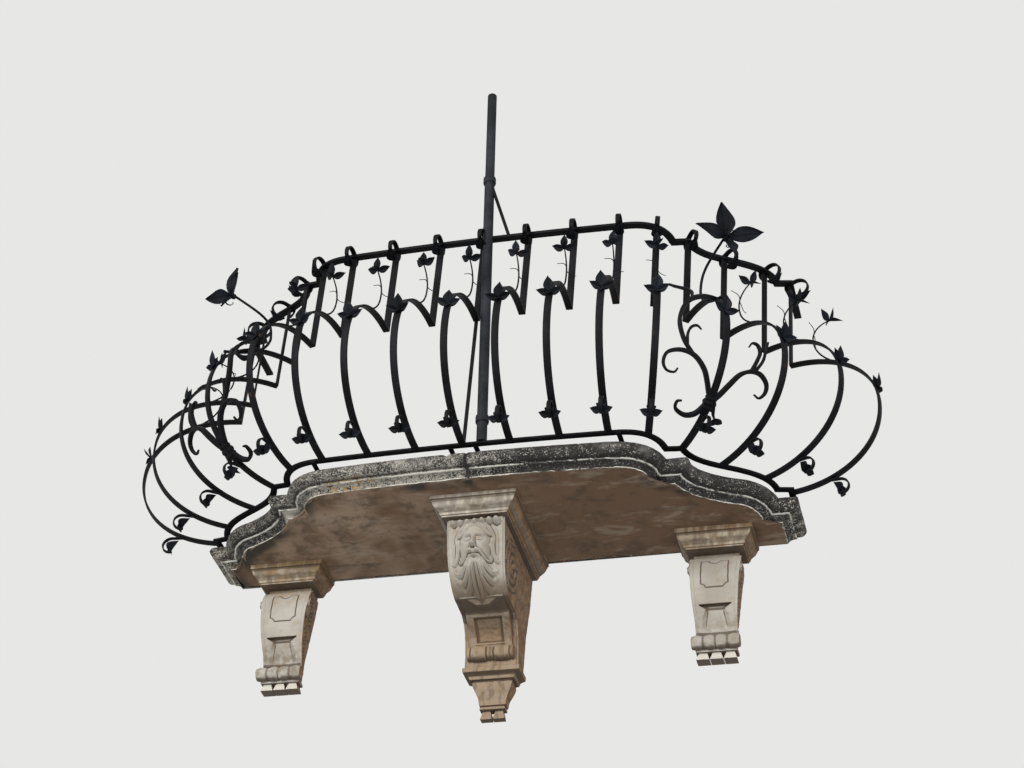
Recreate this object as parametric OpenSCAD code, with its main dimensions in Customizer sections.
/*
Wrought iron balcony with a bombe railing on a moulded stone slab and three carved consoles.

Frame: X runs along the wall, to the right as seen from the street.
Y runs into the wall, so the wall face is the plane y = 0 and the balcony stands at y below 0.
Z is up. The origin is the middle of the slab's back face.
Heights in the modules are measured from the underside of the slab, and lift() brings them to the frame.
*/

/* [Slab] */
// half width of the slab at the wall, measured on the fillet under the big round
slab_half = 1082; // [1040:1:1120]
// distance from the wall to the front fillet
slab_out = 594; // [585:1:605]
// thickness of the stone
slab_t = 75; // [70:1:90]
// how far the long front bows out in its middle
slab_bow = 16; // [0:1:24]

/* [Railing] */
// height of the handrail's underside above the slab's underside
rail_z = 1050; // [1000:1:1080]
// height of the bottom rail's underside above the slab's underside
foot_z = 86; // [84:1:100]
// width of the flat bar that the rails and balusters are forged from
bar_w = 26; // [20:1:32]
// thickness of that bar
bar_t = 8; // [6:1:10]
// how far the rails bow out in the middle of the front
rail_bow = 11; // [0:1:20]
// how far the belly of a baluster stands out from the rail
belly = 336; // [280:1:360]
// height of the widest point of the belly
belly_z = 388; // [360:1:420]
// height of the inner corner where the arm turns up
corner_z = 668; // [640:1:700]

/* [Staff] */
// outside diameter of the lower tube
staff_d = 38; // [34:1:48]
// outside diameter of the upper tube
staff_top_d = 36; // [28:1:40]
// thickness of the tubes' wall
staff_wall = 3.5; // [2.5:0.5:5]

/* [Consoles] */
// distance of the left console from the middle
left_x = 818; // [780:1:850]
// distance of the right console from the middle
right_x = 802; // [780:1:850]
// drop of the side consoles below the slab
side_drop = 484; // [470:1:520]
// drop of the middle console below the slab
mid_drop = 655; // [640:1:720]

/* [Output] */
// one node by name, or all

/* [Hidden] */
$fn = 48;

iron = [0.16, 0.16, 0.17];
stone = [0.66, 0.62, 0.55];
pale = [0.80, 0.77, 0.70];

// Curves and outlines

function lerp(a, b, t) = a + (b - a) * t;
function unit(v) = v / norm(v);
function left_of(v) = [-v[1], v[0]];
function flip(list) = [for (i = [len(list) - 1:-1:0]) list[i]];
function mirror_x(list) = [for (p = flip(list)) [-p[0], p[1]]];

// n + 1 points of a Bezier curve with four poles
function bez(a, b, c, d, n) = [for (i = [0:n]) let (t = i / n, s = 1 - t)
  a * s * s * s + b * 3 * s * s * t + c * 3 * s * t * t + d * t * t * t];

// curve through knots, n steps between two of them
function spline(p, n) = let (m = len(p) - 1) concat([for (i = [0:m - 1], k = [0:n - 1]) let (
    t = k / n, b = p[i], c = p[i + 1], a = i > 0 ? p[i - 1] : 2 * b - c, d = i < m - 1 ? p[i + 2] : 2 * c - b)
  0.5 * (2 * b + (c - a) * t + (2 * a - 5 * b + 4 * c - d) * t * t + (3 * b - a - 3 * c + d) * t * t * t)], [p[m]]);

// direction of an open line at point i
function dir_at(p, i) = unit(unit(p[min(i + 1, len(p) - 1)] - p[min(i, len(p) - 2)])
  + unit(p[max(i, 1)] - p[max(i - 1, 0)]));

// mitre factor at point i
function mitre(p, i) = (i == 0 || i == len(p) - 1) ? 1
  : 1 / max(0.5, sqrt((1 + unit(p[i + 1] - p[i]) * unit(p[i] - p[i - 1])) / 2));

// open line moved sideways by d, to its left when d is positive
function beside(p, d) = [for (i = [0:len(p) - 1]) p[i] + left_of(dir_at(p, i)) * d * mitre(p, i)];

// outline of a band that runs along a line; wa and wb are its widths at the two ends
function band(p, wa, wb) = let (n = len(p) - 1) concat(
  [for (i = [0:n]) p[i] + left_of(dir_at(p, i)) * lerp(wa, wb, i / n) / 2 * mitre(p, i)],
  [for (i = [n:-1:0]) p[i] - left_of(dir_at(p, i)) * lerp(wa, wb, i / n) / 2 * mitre(p, i)]);

// points of a shallow arch from beside x to beside the middle, on a line that lies at y
function bowed(x, y, rise) = [for (i = [1:3]) let (t = 1 - i / 3.5) [x * t, y - rise * (1 - t * t)]];

module lift() translate([0, 0, -slab_t / 2]) children();

// solid from rings that all have the same number of points
module skin(rings) {
  n = len(rings[0]);
  m = len(rings);
  polyhedron(points = [for (r = rings) each r], faces = concat(
    [[for (i = [0:n - 1]) i]],
    [[for (i = [n - 1:-1:0]) (m - 1) * n + i]],
    [for (j = [0:m - 2], i = [0:n - 1]) [j * n + i, (j + 1) * n + i, (j + 1) * n + (i + 1) % n, j * n + (i + 1) % n]]));
}

// Slab

// plan of the right half on the fillet line, from the wall to the middle
function slab_plan() = concat(
  [[slab_half, 0], [slab_half, -168], [slab_half - 62, -168]],
  bez([slab_half - 63, -172], [slab_half - 70, -235], [slab_half - 108, -285], [slab_half - 160, -304], 10),
  bez([slab_half - 172, -308], [slab_half - 246, -337], [slab_half - 334, -396], [slab_half - 335, -460], 10),
  [[slab_half - 407, -460]],
  bez([slab_half - 408, -464], [slab_half - 420, -550], [slab_half - 475, -slab_out + 7],
    [slab_half - 580, -slab_out + 3], 10),
  bowed(slab_half - 580, -slab_out + 3, slab_bow));

// profile of the edge as offset and height, from the underside up
function slab_edge() = concat(
  [[-34, 0], [-33, 3.5]], bez([-30, 4], [-29, 11], [-19, 16], [-6, 17], 5), [[0, 18], [0, 24]],
  [for (a = [-72:12:84]) [8 + 26 * cos(a), slab_t - 26 + 26 * sin(a)]], [[9, slab_t]]);

// convex corners of the plan's two steps; a moved line is held back at the moved corner
slab_steps = [[slab_half, -168], [slab_half - 335, -460]];
function held(p, q, d, i = 0) = i == len(slab_steps) ? q : let (c = slab_steps[i])
  held(p, p[1] > c[1] ? [q[0], max(q[1], c[1] - d)] : [sign(q[0]) * min(abs(q[0]), c[0] + d), q[1]], d, i + 1);

module slab() color(stone) lift() {
  line = concat(slab_plan(), mirror_x(slab_plan()));
  n = len(line) - 1;
  skin([for (k = slab_edge()) let (moved = beside(line, k[0]))
    [for (i = [n:-1:0]) let (q = held(line[i], moved[i], k[0])) [q[0], min(q[1], 0), k[1]]]]);
}

// Rails

// plan of the rails' centre line, right half, from the wall to the middle
function rail_plan() = concat(
  [[1092, 0], [1092, -206], [1044, -214]],
  bez([1042, -226], [1030, -282], [986, -318], [940, -346], 10),
  bez([924, -356], [850, -398], [776, -428], [757, -508], 10),
  [[702, -514]],
  bez([699, -524], [688, -590], [640, -634], [545, -636], 10),
  bowed(545, -636, rail_bow));
function rail_line() = concat(rail_plan(), mirror_x(rail_plan()));

module bottom_rail() color(iron) lift()
  translate([0, 0, foot_z]) linear_extrude(bar_t) polygon(band(rail_line(), bar_w - 2, bar_w - 2));

module handrail() color(iron) lift() {
  line = rail_line();
  half_profile = [[-14, 0], [14, 0], [14, 9], [10, 14], [4, 16.5], [-4, 16.5], [-10, 14], [-14, 9]];
  skin([for (i = [0:len(line) - 1]) let (s = left_of(dir_at(line, i)) * mitre(line, i))
    [for (q = half_profile) [line[i][0] + s[0] * q[0], min(line[i][1] + s[1] * q[0], 0), rail_z + q[1]]]]);
}

// Balusters

// foot of each right-hand baluster from the middle one outwards, and the way its belly points
stations = [[0, -642, -90], [172, -640, -88], [350, -638, -87], [523, -634, -85], [655, -597, -75],
  [757, -508, -53], [872, -386, -39], [1008, -284, -27], [1092, -187, -12]];
// number from the left, 1 to 17
function station(k) = let (s = stations[abs(k - 9)]) k >= 9 ? s : [-s[0], s[1], 180 - s[2]];

// centre line of the bar as distance from the post and height
belly_foot = foot_z + bar_t / 2;
function swell(a, top = corner_z) = let (c = pow(abs(cos(a)), 0.94), s = pow(abs(sin(a)), 0.94))
  [belly * c, a < 0 ? belly_z - s * (belly_z - belly_foot) : belly_z + s * (top - belly_z)];
function bar_line(top) = concat([for (a = [-90:4:86]) swell(a, top)], [[0, top], [0, rail_z]]);
// four balusters right of the middle were forged with a higher inner corner
function top_of(k) = corner_z + (k < 10 || k > 13 ? 0 : [10, 10, 16, 16][k - 10]);

// spiral part of a hook: centre, start radius, end radius, start angle, end angle
function curl(c, ra, rb, a, b, n) = [for (i = [0:n]) let (t = i / n)
  c + lerp(ra, rb, t) * [cos(lerp(a, b, t)), sin(lerp(a, b, t))]];
function top_hook() = concat(
  [[0, rail_z - 40], [-12, rail_z - 24], [-18, rail_z - 8], [-18, rail_z + 9], [-12, rail_z + 19]],
  curl([32, rail_z - 15], 42, 34, 122, -115, 13));
function low_hook() = concat([[118, swell(-69)[1] + 2]], curl([181, 67], 39, 22, 98, -110, 10));

module stand(k) {
  s = station(k);
  lift() translate([s[0], s[1], 0]) rotate([0, 0, s[2]]) children();
}
module flat(w) rotate([90, 0, 0]) linear_extrude(w, center = true) children();

module baluster(k) color(iron) stand(k) {
  flat(bar_w) polygon(band(bar_line(top_of(k)), bar_t, bar_t));
  flat(bar_w - 10) polygon(band(top_hook(), 7, 5));
  flat(bar_w - 12) polygon(band(low_hook(), 6, 4));
}

// leaf cut from sheet: two arcs that meet in points, root at the origin, tip along X
module leaf(len, wide, thick) {
  r = (len * len / 4 + wide * wide / 4) / wide;
  translate([len / 2, 0, 0]) intersection() {
    translate([0, r - wide / 2, 0]) cylinder(r = r, h = thick, center = true, $fn = 96);
    translate([0, wide / 2 - r, 0]) cylinder(r = r, h = thick, center = true, $fn = 96);
  }
}

// Hook leaves, tendrils and sprigs

module hook_leaves() color(iron) for (k = [1:17]) stand(k) {
  translate([14, 0, rail_z - 47]) rotate([0, -6, 0]) rotate([35, 0, 0]) leaf(66, 36, 2.5);
  translate([184, 0, 45]) rotate([0, -114, 0]) leaf(64, 26, 2.5);
  for (m = [-1, 1]) translate([180, m * -3, 54]) rotate([0, -12, m * 90]) rotate([m * -55, 0, 0]) leaf(40, 24, 2.5);
}

module shoulder_leaves() color(iron) for (k = [1:17]) let (q = swell(17, top_of(k))) stand(k)
  translate([q[0], 0, q[1]])
    for (m = [[0, -70, 0, 62, 38], [82, -8, -50, 48, 26], [-82, -8, 50, 48, 26], [0, 50, 0, 34, 26]])
      rotate([0, 0, m[0]]) rotate([0, m[1], 0]) rotate([m[2], 0, 0]) translate([2, 0, 0]) leaf(m[3], m[4], 2.5);

function tendril_line(top) = concat(
  bez([176, swell(58, top)[1] + 2], [120, 668], [86, 715], [88, 775], 8),
  bez([90, 786], [95, 816], [120, 833], [152, 840], 6));
module tendrils() color(iron) for (k = [1, 2, 3, 5, 6, 7, 8, 9, 10, 11, 12, 13, 15, 16, 17]) stand(k)
  flat(6) polygon(band(tendril_line(top_of(k)), 7, 5));

module tendril_leaves() color(iron) for (k = [1, 2, 3, 5, 6, 7, 8, 9, 10, 11, 12, 13, 15, 16, 17]) stand(k)
  translate([150, 0, 839]) for (m = [[0, -75], [0, 20], [110, -30], [-110, -30]])
    rotate([0, 0, m[0]]) rotate([0, m[1], 0]) leaf(56, 27, 2.5);

module curled_wires() color(iron) for (k = [1, 2, 3, 5, 6, 7, 8, 9, 10, 11, 12, 13, 15, 16, 17]) stand(k)
  for (m = [-1, 1]) translate([92, m * 34, 790]) rotate([90, 0, 90])
    rotate([0, 0, m > 0 ? 180 : 270]) rotate_extrude(angle = 90) translate([34, 0]) circle(r = 1.6, $fn = 16);

// Corner ornaments, on the surface that the bellies lie in

// place on that surface at a fractional baluster number and a belly angle, and the outward direction there
function between(u) = let (i = min(floor(u), 16)) lerp(stations[i - 9], stations[i - 8], u - i);
function on_belly(p) = let (s = between(p[0]), q = swell(p[1]))
  [s[0] + q[0] * cos(s[2]), s[1] + q[0] * sin(s[2]), q[1]];
function out_at(p) = let (s = between(p[0]), d = swell(p[1] + 1) - swell(p[1] - 1), n = unit([d[1], -d[0]]))
  [n[0] * cos(s[2]), n[0] * sin(s[2]), n[1]];

// flat bar with its wide side square to the surface, through knots of number and angle;
// inner narrows what lies on the middle's side of the corner baluster
module strap(knots, w, ta, tb, inner = 1) {
  path = [for (p = spline(knots, 3)) [p[0] < 14 ? 14 + (p[0] - 14) * inner : p[0], p[1]]];
  n = len(path) - 1;
  pts = [for (p = path) on_belly(p)];
  skin([for (i = [0:n]) let (
      t = unit(pts[min(i + 1, n)] - pts[max(i - 1, 0)]),
      o = out_at(path[i]),
      b = unit(cross(t, o)) * lerp(ta, tb, i / n) / 2)
    [pts[i] + o * w / 2 + b, pts[i] - o * w / 2 + b, pts[i] - o * w / 2 - b, pts[i] + o * w / 2 - b]]);
}

module scrolls(inner) color(iron) lift() {
  strap([[13.98, -50], [13.92, -46], [13.85, -40], [13.76, -33], [13.62, -27], [13.48, -24.7], [13.32, -25.4],
    [13.18, -29], [13.14, -35.5], [13.2, -40], [13.32, -40.2], [13.37, -37]], 18, 15, 7, inner);
  strap([[13.98, -50], [13.92, -57], [13.83, -62.8], [13.66, -65.7], [13.47, -63.4], [13.46, -58.4],
    [13.54, -56.8]], 18, 15, 7, inner);
  strap([[13.56, -25.5], [13.42, -18.4], [13.34, -9.3], [13.33, -1.1], [13.39, 8.5], [13.52, 20.2], [13.78, 34],
    [13.98, 40]], 18, 13, 9, inner);
  strap([[13.46, -20], [13.45, -13], [13.49, -7.5], [13.57, -5], [13.64, -7]], 14, 10, 5, inner);
  strap([[13.5, 19], [13.53, 33], [13.42, 44], [13.3, 48], [13.2, 42], [13.27, 34]], 14, 10, 5, inner);
  strap([[14.03, -50], [14.1, -46], [14.2, -37.1], [14.32, -27.8], [14.48, -22.7], [14.64, -22], [14.77, -26.2],
    [14.8, -32.1], [14.74, -36.9], [14.64, -36.2]], 18, 15, 7);
  strap([[14.03, -50], [14.1, -55], [14.15, -59], [14.27, -63.6]], 18, 15, 7);
  strap([[14.48, -22.7], [14.54, -13.5], [14.57, -6.9], [14.52, -2.6], [14.43, -2.8], [14.38, -6.7]], 15, 11, 6);
  strap([[14.54, -21.5], [14.63, -12.5], [14.66, -5], [14.7, 3]], 14, 10, 5);
  strap([[14, -57], [14, -48]], 24, 42, 42);
}
module right_scrolls() scrolls(1);
module left_scrolls() mirror([1, 0, 0]) scrolls(0.8);

// turns X to a and the leaf's flat side to b
module aim(a, b) {
  x = unit(a);
  z = unit(b - (b * x) * x);
  y = cross(z, x);
  multmatrix([[x[0], y[0], z[0], 0], [x[1], y[1], z[1], 0], [x[2], y[2], z[2], 0], [0, 0, 0, 1]]) children();
}
right_petals = [[[37, -36, 138], 74], [[62, 122, 37], 62], [[36, -130, -3], 56], [[62, 10, -106], 52]];
left_petals = [[[26, -26, 114], 66], [[62, 117, 25], 60], [[60, -100, 20], 60], [[50, -2, -72], 40]];
module flower(k, side, petals) color(iron) stand(k) {
  flat(8) polygon(band(concat(
    bez([300, 560], [210, 600], [130, 640], [118, 720], 10),
    bez([120, 740], [128, 812], [180, 812], [322, 834], 10)), 9, 7));
  translate([301, side * 8, 832]) for (p = petals) {
    v = [p[0][0], side * p[0][1], p[0][2]];
    aim(v, [1, 0, -0.2]) leaf(norm(v), p[1], 3);
  }
  translate([301, side * 4, 832]) sphere(r = 10, $fn = 24);
}

// Staff and fixings

staff_foot = [67, -645, 98];
staff_head = [-16, -688, 1790];
staff_len = norm(staff_head - staff_foot);
module on_staff() {
  d = staff_head - staff_foot;
  lift() translate(staff_foot) rotate([0, 0, atan2(d[1], d[0])]) rotate([0, acos(d[2] / norm(d)), 0]) children();
}
module tube(d, wall, h) difference() {
  cylinder(d = d, h = h);
  translate([0, 0, -1]) cylinder(d = d - 2 * wall, h = h + 2);
}
module staff_tube() color(iron) on_staff() {
  tube(staff_d, staff_wall, 1240);
  translate([0, 0, 1240]) tube(staff_top_d, staff_wall, staff_len - 1240);
}
module staff_collars() color(iron) on_staff() for (z = [82, 1222]) translate([0, 0, z])
  difference() {
    cylinder(d = staff_d + 9, h = 30);
    translate([0, 0, -1]) cylinder(d = staff_d, h = 32);
  }
module rod(a, b, d) {
  v = b - a;
  translate(a) rotate([0, 0, atan2(v[1], v[0])]) rotate([0, acos(v[2] / norm(v)), 0]) cylinder(d = d, h = norm(v));
}
module staff_brace() color(iron) lift() rod([20, -684, 1300], [95, -640, rail_z + 15], 13);
module centre_stay() color(iron) lift()
  translate([-6, -642 - 5, foot_z + bar_t]) cube([12, 10, corner_z - foot_z - bar_t - bar_t / 2]);
// each clamp is a tongue under the bottom rail and a foot let into the slab's top
module rail_clamps() color(iron) lift() for (x = [-560, -46, 46, 560]) {
  translate([x - 9, -645, foot_z - 5]) cube([18, 65, 5]);
  translate([x - 9, -596, slab_t - 2]) cube([18, 16, foot_z - slab_t - 1]);
}

// Consoles

// solid of a moulded cap: profile as outward distance and height, on three sides of a block against the wall
module moulded(half, out, profile) skin([for (p = profile) let (w = half + p[0], d = out + p[0])
  [[w, 0, p[1]], [-w, 0, p[1]], [-w, -d, p[1]], [w, -d, p[1]]]]);

module side_cap() moulded(105, 121, concat([[-1, -70.5], [0, -70], [1, -65], [4, -64.5]],
  bez([6, -60], [10, -44], [26, -46], [29, -26], 8), [[31, -25.5], [32, -19], [36, -18.5], [36, 0]]));
module left_console_cap() color(pale) lift() translate([-left_x, 0, 0]) side_cap();
module right_console_cap() color(pale) lift() translate([right_x, 0, 0]) side_cap();

// drops under a console, narrow at the top and wide at the bottom
module drops(n, wide, z, h, out) for (i = [0:n - 1]) {
  p = wide / n;
  translate([-wide / 2 + p * (i + 0.5), 0, z - h]) skin([
    [[p * 0.48, 0, 0], [-p * 0.48, 0, 0], [-p * 0.48, -out, 0], [p * 0.48, -out, 0]],
    [[p * 0.28, 0, h], [-p * 0.28, 0, h], [-p * 0.28, -out + 3, h], [p * 0.28, -out + 3, h]]]);
}

// console body from its side profile as distance from the wall and height, w wide
module console_body(w, profile) rotate([90, 0, -90]) linear_extrude(w, center = true) polygon(profile);
// prism square to the wall with a given front outline
module front(outline) rotate([90, 0, 0]) linear_extrude(600) polygon(outline);
// outline mirrored to both sides of the middle
function both(p) = concat(p, [for (q = flip(p)) [-q[0], q[1]]]);
// rolled foot: two large lobes with a narrow double ridge between them
function roll_r(r, x) = r - 5 * exp(-pow((abs(x) - 0.18) / 0.07, 2)) - 2 * exp(-pow(x / 0.04, 2))
  - 1.5 * pow(max(0, abs(x) - 0.7) / 0.3, 2);
module roll(half, r, out, z) translate([0, -out, z]) rotate([0, 90, 0]) rotate_extrude($fn = 32)
  polygon(concat([[0, -half]], [for (i = [0:40]) let (x = i / 20 - 1) [roll_r(r, x), x * half]], [[0, half]]));

// side consoles
function side_face() = concat([[72, -88], [86, -92]], bez([94, -98], [128, -145], [116, -245], [78, -315], 16),
  bez([74, -322], [58, -350], [42, -370], [42, -410], 8));
module side_panel(k) front(both(concat(
  [for (a = [-90:15:-30]) [(26 + k) * cos(a), -104 + (26 + k) * sin(a)]],
  [[49 - k, -117 - k], [49 - k, -214 + k], [32 - k, -214 + k], [32 - k, -228 + k]])));

module side_console() {
  difference() {
    intersection() {
      console_body(200, concat([[0, -88]], side_face(), [[42, -452], [0, -452]]));
      front(both([[94, -80], [94, -123], [89, -188], [84, -260], [76, -343], [75, -500]]));
    }
    difference() {
      intersection() {
        side_panel(0);
        console_body(200, concat(side_face(), flip(beside(side_face(), -3))));
      }
      side_panel(3);
    }
    skin([[[25, -62, -306], [-25, -62, -306], [-50, -38, -404], [50, -38, -404]],
      [[66, -112, -286], [-66, -112, -286], [-66, -60, -404], [66, -60, -404]]]);
  }
  translate([-82, -74, -88]) cube([164, 74, 17.5]);
  for (m = [-1, 1]) translate([m * 86, -62, -160]) rotate([0, 90, 0]) cylinder(r = 40, h = 16, center = true);
  roll(86, 26, 60, -427);
  translate([-73, -48, -457]) cube([146, 48, 11.5]);
  drops(3, 146, -456, side_drop - 456, 43);
}
module left_console() color(pale) lift() translate([-left_x, 0, 0]) side_console();
module right_console() color(pale) lift() translate([right_x, 0, 0]) side_console();

// middle console
module middle_console_cap() color(pale) lift()
  moulded(121, 450, concat([[-1, -70.5], [0, -70], [1, -65], [4, -64.5]],
    bez([6, -60], [10, -44], [28, -46], [32, -22], 8), [[34, -21.5], [35, -15], [39, -14.5], [39, 0]]));

function block_face() = concat([[425, -71]], bez([425, -76], [400, -150], [378, -280], [276, -309], 16));
function neck_face() = concat([[276, -309], [200, -318], [192, -324]],
  bez([188, -328], [158, -360], [120, -380], [108, -430], 10));
module middle_console() color(pale) lift() {
  intersection() {
    console_body(220, concat([[0, -71]], block_face(),
      [[180, -314]], bez([150, -330], [122, -360], [100, -400], [92, -472], 8), [[0, -480]]));
    front(both([[102, -70], [101, -185], [97, -272], [94, -309], [94, -490]]));
  }
  difference() {
    console_body(158, concat([[0, -300]], neck_face(), [[90, -460], [0, -460]]));
    intersection() {
      front(both([[52, -334], [50, -396]]));
      console_body(200, concat(beside(neck_face(), 20), flip(beside(neck_face(), -8))));
    }
  }
  roll(86, 28, 100, -433);
  for (m = [-1, 1]) translate([m * 98, -300, -190]) rotate([0, 90, 0]) difference() {
    cylinder(r = 92, h = 12, center = true);
    translate([0, 0, m * 6]) difference() {
      cylinder(r = 80, h = 6, center = true);
      cylinder(r = 30, h = 8, center = true);
    }
  }
}

// bearded head carved on the block: locks are chains of tapering round lengths
module lock(p, ra, rb) for (i = [0:len(p) - 2]) hull() {
  translate(p[i]) sphere(r = lerp(ra, rb, i / (len(p) - 1)), $fn = 10);
  translate(p[i + 1]) sphere(r = lerp(ra, rb, (i + 1) / (len(p) - 1)), $fn = 10);
}
module middle_console_head() color(pale) lift() {
  difference() {
    translate([0, -384, -186]) scale([0.74, 0.66, 0.98]) sphere(r = 88, $fn = 36);
    for (m = [-1, 1]) translate([m * 25, -448, -160]) scale([1.4, 0.8, 0.8]) sphere(r = 11, $fn = 18);
  }
  translate([0, -360, -252]) scale([0.84, 0.60, 0.55]) sphere(r = 88, $fn = 36);
  for (m = [-1, 1]) {
    translate([m * 25, -434, -161]) scale([1.3, 0.8, 0.8]) sphere(r = 9, $fn = 18);
    lock([[m * 8, -444, -146], [m * 26, -440, -140], [m * 44, -424, -150]], 6, 4);
    translate([m * 34, -420, -192]) scale([1, 0.6, 0.8]) sphere(r = 17, $fn = 18);
    translate([m * 9, -446, -191]) sphere(r = 7, $fn = 12);
    lock([[m * 4, -444, -204], [m * 26, -436, -214], [m * 46, -416, -234], [m * 58, -404, -226]], 9, 4);
    lock([[m * 10, -430, -92], [m * 36, -430, -106], [m * 50, -418, -134], [m * 74, -400, -146]], 12, 8);
    lock([[m * 30, -424, -88], [m * 60, -418, -98], [m * 80, -404, -126], [m * 90, -386, -180],
      [m * 84, -372, -238]], 12, 8);
    lock([[m * 20, -404, -236], [m * 44, -388, -256], [m * 72, -372, -256], [m * 80, -374, -238]], 13, 7);
    lock([[m * 16, -390, -262], [m * 34, -356, -284], [m * 62, -330, -286], [m * 76, -336, -270]], 14, 7);
    lock([[m * 10, -402, -244], [m * 12, -366, -284], [m * 5, -312, -322]], 15, 7);
  }
  lock([[0, -442, -144], [0, -458, -190]], 7, 10);
  lock([[-18, -436, -224], [0, -442, -226], [18, -436, -224]], 6, 6);
}

module middle_console_foot() color(pale) lift() {
  moulded(48, 38, concat([[-2, -mid_drop + 33], [-2, -mid_drop + 42], [-6, -mid_drop + 44], [0, -mid_drop + 49]],
    bez([2, -600], [4, -566], [20, -560], [25, -532], 8),
    [[26, -526], [24, -524], [24, -519], [34, -518], [38, -510], [38, -506], [44, -502], [56, -498], [57, -496],
    [57, -481], [52, -480], [46, -478]]));
  drops(2, 92, -mid_drop + 34, 34, 26);
}

slab();
middle_console_cap();
middle_console();
middle_console_head();
middle_console_foot();
left_console_cap();
left_console();
right_console_cap();
right_console();
bottom_rail();
handrail();
centre_stay();
baluster(1);  // baluster_1
baluster(2);  // baluster_2
baluster(3);  // baluster_3
baluster(4);  // baluster_4
baluster(5);  // baluster_5
baluster(6);  // baluster_6
baluster(7);  // baluster_7
baluster(8);  // baluster_8
baluster(9);  // baluster_9
baluster(10);  // baluster_10
baluster(11);  // baluster_11
baluster(12);  // baluster_12
baluster(13);  // baluster_13
baluster(14);  // baluster_14
baluster(15);  // baluster_15
baluster(16);  // baluster_16
baluster(17);  // baluster_17
left_scrolls();  // left_corner_scrolls
right_scrolls();  // right_corner_scrolls
flower(4, -1, left_petals);  // left_flower
flower(14, 1, right_petals);  // right_flower
shoulder_leaves();
tendrils();
tendril_leaves();
curled_wires();
hook_leaves();
staff_tube();
staff_collars();
staff_brace();
rail_clamps();
